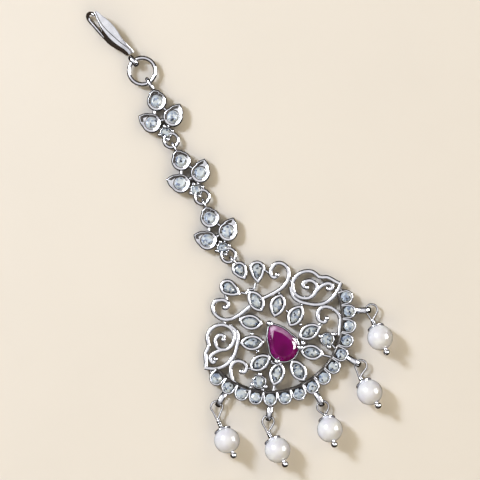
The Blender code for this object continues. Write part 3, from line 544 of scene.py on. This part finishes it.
scrolls = {
    "shoulder": ((0.10, 0.60), (0.20, 0.588), (0.30, 0.582), (0.40, 0.594), (0.49, 0.645), (0.54, 0.735),
                 (0.535, 0.82), (0.46, 0.885), (0.40, 0.872), (0.35, 0.84), (0.328, 0.80), (0.335, 0.762),
                 (0.362, 0.742), (0.39, 0.752)),
    "leaf": ((1.02, 0.25), (0.965, 0.205), (0.89, 0.162), (0.80, 0.140), (0.72, 0.142), (0.62, 0.178),
             (0.53, 0.250), (0.455, 0.335), (0.425, 0.43), (0.46, 0.54)),
    "spiral": ((0.625, 0.425), (0.598, 0.462), (0.622, 0.494), (0.675, 0.494), (0.735, 0.445),
               (0.738, 0.365), (0.688, 0.315), (0.622, 0.297), (0.555, 0.314), (0.485, 0.38), (0.463, 0.455),
               (0.49, 0.545), (0.56, 0.604), (0.65, 0.622), (0.73, 0.60), (0.79, 0.55), (0.826, 0.45)),
    "branch": ((0.69, 0.318), (0.755, 0.337), (0.825, 0.342), (0.88, 0.328), (0.908, 0.285), (0.885, 0.245),
               (0.845, 0.268)),
    "wave": ((0.82, 0.465), (0.853, 0.434), (0.908, 0.40), (0.948, 0.34), (0.975, 0.29), (1.003, 0.25)),
    "hook": ((0.64, -0.036), (0.605, -0.062), (0.563, -0.038), (0.546, 0.017), (0.573, 0.073), (0.63, 0.109),
             (0.696, 0.10), (0.752, 0.05), (0.785, -0.022), (0.79, -0.095), (0.758, -0.167), (0.70, -0.245),
             (0.665, -0.30)),
}
scrollLook = {"wide": 0.94 * mm, "high": 1.15 * mm, "z": 1.25 * mm, "curl": 0.60 * mm, "curlUp": 0.3 * mm,
              "bead": 0.42 * mm, "beadUp": 0.2 * mm, "bar": 0.34 * mm, "barAt": 1.1 * mm}
curls = ((0.392, 0.757), (0.625, 0.425), (0.845, 0.268), (0.64, -0.036))
bars = (((0.00, 0.60), (0.10, 0.60)), ((0.06, 0.76), (0.11, 0.81)), ((0.00, 0.78), (0.06, 0.76)),
        ((0.29, 0.515), (0.29, 0.585)), ((0.325, 0.81), (0.29, 0.90)), ((0.49, 0.645), (0.50, 0.57)),
        ((0.43, 0.26), (0.50, 0.28)), ((0.655, 0.10), (0.665, 0.165)), ((0.48, -0.07), (0.565, -0.04)),
        ((0.30, 0.08), (0.34, 0.06)), ((0.22, -0.17), (0.25, -0.14)), ((0.26, -0.296), (0.45, -0.49)),
        ((0.51, -0.265), (0.72, -0.27)), ((0.51, -0.265), (0.54, -0.43)), ((0.96, 0.20), (1.00, 0.12)))
beads = ((0.318, 0.072), (0.234, -0.128), (0.267, 0.295))   # granules between the petals


def onFan(share, side=1, z=0.0):
    x = side * share[0] * fan["r"] * fan["sides"][side]
    return Vector((x, share[1] * fan["r"] + x * fan["lean"], z))


def rimAngle(index):
    # rim stones are numbered from the middle one, which is 0
    return index * fan["pitch"] / fan["r"] + math.radians(fan["turn"])


def rimSpot(index, radius):
    a = rimAngle(index)
    return Vector((fan["centre"][0] + radius * math.sin(a), fan["centre"][1] - radius * math.cos(a), 0.0))


def rimCup(index):
    # outer side round, inner side straight with a lip darkened by painted shade
    half = fan["pitch"] / 2
    outline = [(half, fan["inwards"]), (half, 0.0)]
    for i in range(1, 10):
        a = -math.pi * i / 10
        outline.append((half * math.cos(a), fan["outwards"] * math.sin(a)))
    outline += [(-half, 0.0), (-half, fan["inwards"])]
    made = cup(outline, rimSpot(index, fan["r"]), rimAngle(index), 0.0, fan["top"], fan["wall"], fan["well"],
               skirt=fan["skirt"])
    middle = Vector(fan["centre"])
    inner = fan["r"] - fan["inwards"] + fan["wall"] - fan["overlap"]
    # painted shade on the faces of the straight inner lip
    for face in made.data.polygons:
        if (face.center.to_2d() - middle).length < inner and len(face.vertices) < 8:
            face.material_index = 1
    return made


settings, clearStones = [], []
half = fan["stones"] // 2
for index in range(-half, half + 1):
    settings.append(rimCup(index))
    clearStones.append(gem(circlePoints(fan["stoneWide"] / 2, 8, rimAngle(index) + 0.3),
                           rimSpot(index, fan["r"]), 0.0, fan["top"] - fan["seat"], fan["stoneWide"],
                           deep=0.18))
rail = [rimSpot(-half - 0.5 + (2 * half + 1) * i / 40, fan["r"] - fan["inwards"] + fan["overlap"])
        + up * fan["railAt"] for i in range(41)]
railSection = ribbonSection(*fan["rail"])
# the rail is drawn wholly in the dark finish: painted shade
settings.append(wire(rail, 0, section=railSection, steps=2, flank=2))
bpy.data.objects.remove(railSection, do_unlink=True)
finished(joined("rimSettings", settings), None, "pendant_frame")
finished(joined("rimStones", clearStones), [clearGlass, clearFoil], "pendant_frame")

settings = []
outline = marquisePoints(petals["length"], petals["width"], 10)
stoneOutline = marquisePoints(petals["length"] * petals["cut"], petals["width"] * petals["cut"], 5)
number = 0
for x, y, turn in petals["places"]:
    for side in (1, -1) if x > 0 else (1,):
        number += 1
        at = onFan((x, y), side)
        angle = math.radians(turn if side == 1 else 180 - turn)
        settings.append(cup(grown(outline, petals["gap"] + petals["wall"]), at, angle, 0.0, petals["top"],
                            petals["lip"], petals["well"]))
        clearStone("marquiseStone%d" % number, "marquise_stone_%d" % number, stoneOutline, at, angle,
                   petals["top"] - petals["seat"], petals["width"])
for number, ((x, y, turn, side), (length, width)) in enumerate(zip(pears["places"], pears["sizes"]), 1):
    at = onFan((x, y), side)
    angle = math.radians(turn + 180 if side == 1 else -turn)
    settings.append(cup(grown(pearPoints(length, width, 16), petals["gap"] + petals["wall"]), at, angle, 0.0,
                        petals["top"], petals["lip"], petals["well"]))
    clearStone("pearStone%d" % number, "pear_stone_%d" % number,
               pearPoints(length * petals["cut"], width * petals["cut"], 7, 2), at, angle,
               petals["top"] - petals["seat"], width)
for number, side in ((1, 1), (2, -1)):
    at = onFan(trefoil["place"], side)
    wide = trefoil["wide"]
    settings.append(cup(circlePoints(wide / 2 + trefoil["gap"], 24), at, 0.0, 0.0,
                        petals["top"] - trefoil["low"], trefoil["wall"], trefoil["well"]))
    clearStone("smallStone%d" % number, "small_stone_%d" % number, circlePoints(wide / 2, 9, 0.2), at, 0.0,
               petals["top"] - trefoil["seat"], wide)
    for angle in trefoil["claws"]:
        a = math.radians(angle if side == 1 else 180 - angle)
        spot = at + Vector((math.cos(a), math.sin(a), 0)) * (wide / 2 + trefoil["clawOut"])
        settings.append(beadAt(spot + up * (petals["top"] - trefoil["claw"]), trefoil["claw"], clawFoot,
                               flat=0.6))
rubyAt = Vector((0.0, centre["width"] / 2 - centre["length"] / 2 + centre["shift"], 0.0))
settings.append(cup(grown(pearPoints(centre["length"], centre["width"], 30, 6), centre["gap"]), rubyAt,
                    math.pi / 2, 0.0, centre["top"], centre["wall"], petals["well"]))
for x, y, z, claw in centre["claws"]:
    settings.append(beadAt(Vector((x * mm, y * mm, z * mm)), claw * mm, clawFoot, 24, 0.2, 0.7))
stone = gem(pearPoints(centre["length"], centre["width"], 9, 2), rubyAt, math.pi / 2,
            centre["top"] + centre["seat"], centre["width"] / 2, centre["table"], centre["crown"],
            centre["deep"])
stone.name = "centreStone"
# dark table, and pale facets at the upper right: a painted glint
for face in stone.data.polygons:
    glintFacet = face.normal.x > 0.2 and face.normal.y > 0.12
    face.material_index = 1 if face.normal.z > 0.99 else 2 if glintFacet else 0
finished(stone, [rubyCrown, rubyTable, rubyGlint], "centre_stone")
finished(joined("petalSettings", settings), None, "pendant_frame")

wires = []
section = ribbonSection(scrollLook["wide"], scrollLook["high"])
for side in (1, -1):
    for shares in scrolls.values():
        wires.append(wire([onFan(share, side, scrollLook["z"]) for share in shares], 0, section=section,
                          steps=4))
    for share in curls:
        wires.append(beadAt(onFan(share, side, scrollLook["z"] + scrollLook["curlUp"]), scrollLook["curl"],
                            flank=0.35, flat=0.75))
    for share in beads:
        wires.append(beadAt(onFan(share, side, scrollLook["z"] + scrollLook["beadUp"]), scrollLook["bead"]))
    for first, last in bars:
        if side == 1 or max(first[0], last[0]) > 0.01:
            ends = [onFan(first, side, scrollLook["barAt"]), onFan(last, side, scrollLook["barAt"])]
            wires.append(wire([ends[0], (ends[0] + ends[1]) / 2, ends[1]], scrollLook["bar"]))
bpy.data.objects.remove(section, do_unlink=True)
finished(joined("scrollWires", wires), None, "pendant_frame")
print("pendant ready")


bails = {"length": 4.05 * mm, "high": 2.5 * mm, "wide": 1.3 * mm, "thick": 0.56 * mm, "sunk": 0.35 * mm,
         "play": 0.25 * mm, "clear": 0.01 * mm}
pin = {"wire": 0.25 * mm, "loop": 1.30 * mm, "ball": 1.50 * mm, "wrap": 0.24 * mm, "pearl": 5.8 * mm,
       "gap": 0.12 * mm, "cap": 3.7 * mm, "capThick": 0.28 * mm, "lip": 0.17 * mm, "lipOut": 0.14 * mm,
       "shrink": 0.019 * mm, "shoulder": 0.6 * mm, "coil": 0.30 * mm, "collar": 0.42 * mm, "hole": 0.35 * mm,
       "stemUp": 0.2 * mm, "collarOut": 0.08 * mm, "ballOut": 0.15 * mm, "ballTrim": 0.02 * mm}
# rim stone, turn of the bail, then the neck and the pearl as shares of a pearl's width from the bail
drops = ((-6, 1.3, -0.214, -0.429, -0.326, -1.308), (-3, -8.6, -0.212, -0.353, -0.255, -1.121),
         (0, -5.9, -0.070, -0.300, -0.224, -0.879), (3, -6.4, -0.264, -0.352, -0.247, -1.041),
         (6, -3.4, -0.178, -0.352, -0.281, -1.076))


def bailFrame(index, turn):
    a = rimAngle(index) + math.radians(turn)
    return rimSpot(index, fan["r"] + fan["outwards"]), Vector((math.sin(a), -math.cos(a), 0.0))


def bail(index, turn):
    # upright oval band, rounded on its outer side
    root, out = bailFrame(index, turn)
    reach = bails["length"] - bails["thick"]
    rise = (bails["high"] - bails["thick"]) / 2 - bails["clear"]
    middle = root + out * (reach / 2 - bails["sunk"]) + up * bails["high"] / 2
    made = wire(standingOval(middle, out, reach / 2, rise), bails["thick"] / 2, True, steps=3, sides=4,
                twist="MINIMUM")
    return widened(made, middle, out.cross(up), bails["wide"] / bails["thick"] - 1)


def capShell(at, axis, radius):
    # domed cap cut from a ball, with a rolled edge
    clearSelection()
    bpy.ops.mesh.primitive_uv_sphere_add(segments=36, ring_count=36, radius=radius,
                                         rotation=axis.to_track_quat("Z", "Y").to_euler(), location=at)
    made = placed(bpy.context.object)
    outer = radius + pin["capThick"]
    angle = math.asin(pin["cap"] / 2 / outer)
    edit(made)
    bpy.ops.mesh.bisect(plane_co=at + axis * radius * math.cos(angle), plane_no=axis, clear_inner=True)
    leave()
    turnedOut(made)
    applied(made, "SOLIDIFY", thickness=pin["capThick"], offset=1)
    side = axis.orthogonal().normalized()
    other = axis.cross(side)
    reach = radius + pin["lipOut"]
    lip = [at + axis * reach * math.cos(angle) + (side * math.cos(a) + other * math.sin(a))
           * reach * math.sin(angle) for a in anglesRound(20)]
    return [withPaintedShade(smoothed(made, 50), 0.8), wire(lip, pin["lip"], True, steps=2, twist="MINIMUM", flank=-2)]


def coil(start, end, radius, thick, turns):
    # wire wound round the neck of a pin
    axis = (end - start).normalized()
    side = axis.orthogonal().normalized()
    other = axis.cross(side)
    count = int(turns * 10)
    spots = []
    for i in range(count + 1):
        a = 2 * math.pi * i / 10
        spots.append(start.lerp(end, i / count) + (side * math.cos(a) + other * math.sin(a)) * radius)
    return wire(spots, thick, steps=2, twist="MINIMUM")


bands = [bail(row[0], row[1]) for row in drops]
finished(joined("rimBails", bands), None, "pendant_frame")
for number, (rim, turn, wrapX, wrapY, pearlX, pearlY) in enumerate(drops, 1):
    root, out = bailFrame(rim, turn)
    bar = root + out * (bails["length"] - bails["thick"] / 2 - bails["play"]) + up * bails["high"] / 2
    neck = Vector((bar.x + wrapX * pin["pearl"], bar.y + wrapY * pin["pearl"], bar.z))
    pearlAt = Vector((bar.x + pearlX * pin["pearl"], bar.y + pearlY * pin["pearl"], pin["pearl"] / 2))
    down = (pearlAt - neck).normalized()
    back = (neck - bar).normalized()
    side = Vector((-back.y, back.x, 0.0))
    loop = [neck]
    for i in range(13):
        a = math.radians(50 + 260 * i / 12)
        loop.append(bar + back * (pin["loop"] * math.cos(a)) + side * (pin["loop"] * math.sin(a)))
    loop.append(neck - side * pin["wire"] * 0.8)
    radius = pin["pearl"] / 2 - pin["shrink"]
    shoulder = pearlAt - down * (radius + pin["shoulder"])
    ballAt = pearlAt + down * (radius + pin["ball"] / 2 + pin["ballOut"])
    parts = [wire(loop, pin["wire"] * 0.9, steps=4, flank=0.85),
             wire([neck - down * pin["stemUp"], neck.lerp(ballAt, 0.5), ballAt], pin["wire"], steps=2),
             coil(neck, shoulder, pin["coil"], pin["wrap"], 3),
             beadAt(ballAt, pin["ball"] / 2 - pin["ballTrim"], None, 22),
             beadAt(pearlAt + down * (radius + pin["collarOut"]), pin["collar"])]
    finished(joined("eyePin%d" % number, parts), None, "eye_pin_%d" % number)
    finished(joined("beadCap%d" % number, capShell(pearlAt, -down, radius + pin["gap"])), None,
             "bead_cap_%d" % number)
    clearSelection()
    bpy.ops.mesh.primitive_uv_sphere_add(segments=56, ring_count=40, radius=radius, location=pearlAt,
                                         rotation=down.to_track_quat("Z", "Y").to_euler())
    pearl = placed(bpy.context.object)
    pearl.name = "pearl%d" % number
    for corner in pearl.data.vertices:
        offAxis = (corner.co - pearlAt).cross(down).length
        if offAxis < pin["hole"]:
            corner.co -= (corner.co - pearlAt) * 0.06      # dimple round the drilled hole
    finished(smoothed(pearl, 60), [nacre], "pearl_%d" % number)
print("drops ready")


# route: x of a link's middle, gap to the one below it, its turn, side the ring leans to
links = {"stone": 2.75 * mm, "wall": 0.85 * mm, "top": 2.3 * mm, "tip": 2.75 * mm, "sideTip": 3.40 * mm,
         "side": 2.50 * mm, "rise": 4.40 * mm, "drop": 3.00 * mm, "seat": 0.45 * mm, "rimWall": 0.34 * mm,
         "bowl": 0.30 * mm, "shadeLine": (0.16 * mm, 0.26 * mm, 0.12 * mm), "small": 2.20 * mm,
         "smallGap": 0.38 * mm, "smallLow": 0.55 * mm, "smallSeat": 0.95 * mm, "smallWall": 0.3 * mm,
         "smallWell": 0.9 * mm, "claw": 0.46 * mm, "clawOut": 0.42 * mm, "ringDrop": 4.95 * mm,
         "ring": 4.00 * mm, "ringWire": 0.42 * mm, "loop": 0.27 * mm, "play": 0.30 * mm, "sunk": 0.35 * mm,
         "z": 1.45 * mm, "strut": 0.38 * mm, "strutAt": 0.95 * mm,
         "route": ((3.15 * mm, 0.41 * mm, 15.0, 1.5), (1.75 * mm, 0.27 * mm, 3.5, 0.9),
                   (0.25 * mm, 0.25 * mm, 8.0, 1.2))}
hookRing = {"wide": 6.9 * mm, "wire": 0.47 * mm, "x": 5.0 * mm, "gap": 1.44 * mm, "split": 143}
pendantTop = onFan(pears["places"][0][:2]) + Vector((0, pears["sizes"][0][1] / 2 + pears["tipOut"], 0))


def linkMiddle(number):
    # each link stands on the point of the one below it
    x, gap, turn, side = links["route"][number]
    below = pendantTop.y if number == 2 else linkPoint(number + 1)
    return x, below + links["ringDrop"] + links["ring"] / 2 + gap, math.radians(turn)


def linkPoint(number):
    x, y, turn = linkMiddle(number)
    return y + (links["rise"] + links["tip"]) * math.cos(turn)


def linkSpot(number, x, y, z=0.0):
    middleX, middleY, turn = linkMiddle(number)
    c, s = math.cos(-turn), math.sin(-turn)
    return Vector((middleX + x * c - y * s, middleY + x * s + y * c, z))


def linkRing(number):
    side = links["route"][number][3]
    return linkSpot(number, side * links["ringWire"], -links["ringDrop"], links["z"])


def uprightLoop(tip, ringAt, reach, widen=0.2):
    # oval loop soldered to a tip, round the wire of the ring above it
    along = Vector((ringAt.x - tip.x, ringAt.y - tip.y, 0)).normalized()
    bar = Vector((ringAt.x, ringAt.y, 0)) - along * reach
    rise = links["ringWire"] + links["play"] + links["loop"]
    far = (bar - Vector((tip.x, tip.y, 0))).dot(along) + rise
    near = -links["sunk"]
    middle = Vector((tip.x, tip.y, links["z"])) + along * ((far + near) / 2)
    spots = standingOval(middle, along, (far - near) / 2, rise)
    made = wire(spots, links["loop"], True, steps=3, twist="MINIMUM", flank=0.4)
    return widened(made, middle, along.cross(up), widen)


def leafSetting(at, angle, tip):
    # leaf with a shallow bowl, its upper wall darkened with painted shade, and a dark ring of painted shade
    # round the stone
    radius = links["stone"] / 2 + links["wall"]
    bowl = cup(pearPoints(tip + radius, 2 * radius, 20, 6), at, angle, 0.0, links["top"], links["rimWall"],
               links["bowl"], 0.15, 0.30, 0.22 * mm, 0.7)
    # painted shade on the upper inner wall of the bowl
    for face in bowl.data.polygons:
        inward = (face.center - at).to_2d().dot(face.normal.to_2d()) < 0
        level = face.center.z - links["top"]
        if inward and face.normal.y < -0.10 and face.normal.z > 0.3 and -0.6 * mm < level < -0.05 * mm:
            face.material_index = 1
    # a thin wire all in the dark finish round the stone: painted shade in the gap by the bezel
    shadeLineOut, shadeLineDown, shadeLineWire = links["shadeLine"]
    spots = [at + Vector((x, y, links["top"] - shadeLineDown))
             for x, y in circlePoints(links["stone"] / 2 + shadeLineOut, 20)]
    return [bowl, wire(spots, shadeLineWire, True, steps=2, flank=2)]


hookRingAt = Vector((hookRing["x"], linkPoint(0) + hookRing["wide"] / 2 + hookRing["gap"], links["z"]))
seats = ((0.0, links["rise"], 90, links["tip"]), (-links["side"], 0.0, 135, links["sideTip"]),
         (links["side"], 0.0, 45, links["sideTip"]))
for number in range(3):
    parts = []
    turn = -math.radians(links["route"][number][2])
    name = "link_%d" % (number + 1)
    for i, (x, y, pointTo, leafTip) in enumerate(seats, 1):
        spot = linkSpot(number, x, y)
        parts += leafSetting(spot, math.radians(pointTo) + turn, leafTip)
        clearStone("link%dStone%d" % (number + 1, i), "%s_stone_%d" % (name, i),
                   circlePoints(links["stone"] / 2, 10, 0.15), spot, turn, links["top"] - links["seat"],
                   links["stone"])
    spot = linkSpot(number, 0.0, -links["drop"])
    parts.append(cup(circlePoints(links["small"] / 2 + links["smallGap"], 24), spot, 0.0, 0.0,
                     links["top"] - links["smallLow"], links["smallWall"], links["smallWell"]))
    clearStone("link%dStone4" % (number + 1), name + "_stone_4", circlePoints(links["small"] / 2, 9, 0.1),
               spot, turn, links["top"] - links["smallSeat"], links["small"])
    for k in range(4):
        a = math.pi / 2 * k + turn
        foot = spot + Vector((math.cos(a), math.sin(a), 0)) * (links["small"] / 2 + links["clawOut"])
        parts.append(beadAt(foot + up * (links["top"] - links["claw"]), links["claw"], clawFoot))
    middles = [(x, y) for x, y, pointTo, leafTip in seats] + [(0.0, -links["drop"])]
    for first, last in ((0, 1), (0, 2), (1, 2), (1, 3), (2, 3)):
        ends = [linkSpot(number, *middles[k], links["strutAt"]) for k in (first, last)]
        parts.append(wire([ends[0].lerp(ends[1], 0.3), (ends[0] + ends[1]) / 2, ends[0].lerp(ends[1], 0.7)],
                          links["strut"], steps=2))
    parts.append(ringWire(linkRing(number), links["ring"] / 2 - links["ringWire"], links["ringWire"]))
    tip = linkSpot(number, 0.0, links["rise"] + links["tip"])
    if number == 0:
        above, reach = hookRingAt, hookRing["wide"] / 2 - hookRing["wire"]
    else:
        above, reach = linkRing(number - 1), links["ring"] / 2 - links["ringWire"]
    parts.append(uprightLoop(tip, above, reach, 0.6 if number == 0 else 0.2))
    finished(joined("flowerLink%d" % (number + 1), parts), None, name)
topLoop = uprightLoop(pendantTop, linkRing(2), links["ring"] / 2 - links["ringWire"])
finished(joined("topLoop", [topLoop]), [silver], "pendant_frame")
print("links ready")


# blade rows in mm: y, x of four edges across it, height of its ridge; drops: how far each of
# the four edges lies under the ridge where the blade is at its full width
hook = {"long": 12.29 * mm, "tilt": 9.5, "rise": 2.9 * mm, "sheet": 0.5 * mm, "edge": 0.07 * mm,
        "leg": 6.2 * mm, "legWire": 0.42 * mm, "legSide": 1.5 * mm, "legGap": 0.05 * mm, "shadeLine": 0.10 * mm,
        "shadeLineSunk": 0.06, "eyeWire": 0.35 * mm, "play": 0.30 * mm, "flat": 0.1 * mm, "neck": 0.1 * mm,
        "blade": ((73.3, 3.9, 4.4, 5.0, 5.6, 1.95), (74.0, 3.5, 4.4, 5.1, 5.6, 2.15),
                  (75.0, 3.1, 4.1, 4.85, 5.35, 2.4), (76.0, 2.5, 3.6, 4.45, 5.15, 2.65),
                  (77.0, 2.0, 3.15, 4.05, 5.0, 2.85), (78.0, 1.6, 2.8, 3.75, 4.95, 3.0),
                  (79.0, 1.4, 2.55, 3.45, 4.95, 3.1), (80.0, 1.7, 2.4, 3.15, 4.9, 3.15),
                  (81.0, 1.9, 2.3, 2.9, 4.75, 3.18), (82.0, 2.05, 2.3, 2.75, 4.55, 3.18),
                  (83.0, 2.15, 2.35, 2.7, 4.2, 3.15), (84.0, 2.25, 2.45, 2.75, 3.8, 3.1),
                  (85.0, 2.4, 2.6, 2.85, 3.5, 3.05), (85.6, 2.5, 2.65, 2.85, 3.2, 3.0)),
        "drops": (1.0, 0.04, 0.0, 0.16), "fullWidth": 2.5}
ring = ringWire(hookRingAt, hookRing["wide"] / 2 - hookRing["wire"], hookRing["wire"], 40,
                math.radians(hookRing["split"]))
finished(joined("hookRing", [ring]), None, "hook_ring")

tilt = math.radians(hook["tilt"])
along = Vector((-math.sin(tilt), math.cos(tilt), 0.0))
across = Vector((math.cos(tilt), math.sin(tilt), 0.0))
bar = hookRingAt + along * (hookRing["wide"] / 2 - hookRing["wire"])
eyeR = hookRing["wire"] + hook["play"] + hook["eyeWire"]
start = bar + along * (eyeR + hook["neck"])
lastRow = len(hook["blade"]) - 1
clearSelection()
bpy.ops.mesh.primitive_grid_add(x_subdivisions=3, y_subdivisions=lastRow, size=1)
blade = bpy.context.object
for corner in blade.data.vertices:
    row = hook["blade"][round((corner.co.y + 0.5) * lastRow)]
    column = round((corner.co.x + 0.5) * 3)
    drop = hook["drops"][column] * min(1.0, (row[4] - row[1]) / hook["fullWidth"])
    corner.co = Vector((row[1 + column], row[0], row[5] - drop)) * mm
turnedOut(blade)
applied(blade, "SUBSURF", subdivision_type="SIMPLE", levels=2, render_levels=2)
applied(blade, "SOLIDIFY", thickness=hook["sheet"], offset=-1)
applied(blade, "BEVEL", width=hook["edge"], segments=2, limit_method="ANGLE", angle_limit=math.radians(50))
top = Vector((start.x, start.y, 0)) + along * hook["long"] + up * hook["rise"]
low = (hook["rise"] - hook["legWire"] - hook["legGap"]) / 2
fold = []
for i in range(9):
    a = math.pi / 2 - math.pi * i / 8
    shift = (1 - math.sin(a)) / 2
    fold.append(top - across * (hook["legSide"] * shift) + along * (low * 0.9 * math.cos(a))
                + up * (low * (math.sin(a) - 1)))
fold += [fold[-1] - along * hook["leg"] * share for share in (0.3, 0.65, 1.0)]
eye = standingOval(bar, along, eyeR, eyeR - hook["flat"])
# a thin dark wire along the blade's ridge: painted shade
shadeLine = [Vector((row[3], row[0], row[5] - hook["shadeLineSunk"])) * mm for row in hook["blade"]]
parts = [withPaintedShade(smoothed(blade, 32), 0.3), wire(shadeLine, hook["shadeLine"], steps=2, flank=2),
         wire(fold, hook["legWire"], radii=[1] * (len(fold) - 1) + [0.6], twist="MINIMUM", flank=0.2),
         widened(wire(eye, hook["eyeWire"], True, steps=3, twist="MINIMUM"), bar, across, 0.8)]
finished(joined("hairHook", parts), None, "hair_hook")
print("hook ready")

# lights: name, direction, distance, size, power, colour, seen in reflections, lights the floor
studio = {"floor": (0.78, 0.745, 0.73), "span": 108.3 * mm, "aim": (4.07 * mm, 24.72 * mm), "dim": 0.88,
          "dome": ((0.48, (0.05, 0.035, 0.025)), (0.72, (0.05, 0.045, 0.04)), (0.90, (0.42, 0.42, 0.44)),
                   (0.97, (1.0, 1.0, 1.02))),
          "camera": 1.0, "sensor": 36, "photoUp": (-0.5195, 0.8545), "warm": (1.0, 0.86, 0.60)}
lights = (("keyLight", (-0.30, 0.64, 0.62), 1.0, 0.20, 6.7, (0.84, 0.91, 1.0), True, True),
          ("fillLeft", (-0.8, -0.35, 0.62), 1.1, 0.95, 4.4, studio["warm"], False, True),
          ("fillRight", (0.8, 0.2, 0.62), 1.1, 0.95, 4.4, studio["warm"], False, True),
          ("fillBack", (-0.2, 0.8, 0.62), 1.1, 0.95, 4.4, studio["warm"], False, True),
          ("fillFront", (0.2, -0.8, 0.62), 1.1, 0.95, 4.4, studio["warm"], False, True),
          ("sideCard", (0.81, -0.34, 0.48), 0.5, 0.28, 2.6, (1.0, 1.0, 1.0), True, False),
          ("skyCard", (-0.42, 0.70, 0.95), 0.5, 0.36, 1.1, (0.95, 0.98, 1.0), True, False))


def softLight(name, direction, distance, size, power, tint, seen, lit):
    aim = Vector((*studio["aim"], 0))
    clearSelection()
    bpy.ops.object.light_add(type="AREA", location=aim + Vector(direction).normalized() * distance)
    lamp = bpy.context.object
    lamp.name = name
    lamp.rotation_euler = Vector(direction).to_track_quat("Z", "Y").to_euler()
    lamp.data.size, lamp.data.energy, lamp.data.color = size, power, tint
    lamp.visible_camera, lamp.visible_glossy, lamp.visible_diffuse = False, seen, lit


clearSelection()
bpy.ops.mesh.primitive_plane_add(size=3, location=(0, 0, -0.02 * mm))
floor = bpy.context.object
floor.name = "floor"
card = Finish("creamCard", Roughness=0.7)
darker = tuple(0.985 * c for c in studio["floor"])
card.feed("Base Color", card.ramp(card.noise(40), ((0.3, studio["floor"]), (0.7, darker))))
floor.data.materials.append(card.material)
floor.visible_glossy = False

for row in lights:
    softLight(*row)
# the dome is seen in reflections only, brightest overhead
world = bpy.data.worlds.new("studioDome")
bpy.context.scene.world = world
world.use_nodes = True
world.cycles_visibility.diffuse = False
tree = world.node_tree
place = tree.nodes.new("ShaderNodeTexCoord")
parts = tree.nodes.new("ShaderNodeSeparateXYZ")
height = tree.nodes.new("ShaderNodeMath")
height.operation = "MULTIPLY_ADD"
height.inputs[1].default_value = height.inputs[2].default_value = 0.5
dome = tree.nodes.new("ShaderNodeValToRGB")
setStops(dome, studio["dome"])
tree.links.new(place.outputs["Generated"], parts.inputs[0])
tree.links.new(parts.outputs["Z"], height.inputs[0])
tree.links.new(height.outputs[0], dome.inputs[0])
tree.links.new(dome.outputs[0], tree.nodes["Background"].inputs["Color"])
tree.nodes["Background"].inputs["Strength"].default_value = studio["dim"]

clearSelection()
bpy.ops.object.camera_add(location=(*studio["aim"], studio["camera"]))
camera = bpy.context.object
camera.rotation_euler = (0, 0, math.atan2(*studio["photoUp"]))
camera.data.sensor_width = studio["sensor"]
camera.data.lens = studio["sensor"] * studio["camera"] / studio["span"]
camera.data.clip_start, camera.data.clip_end = 0.01, 20
bpy.context.scene.camera = camera
print("stage ready")
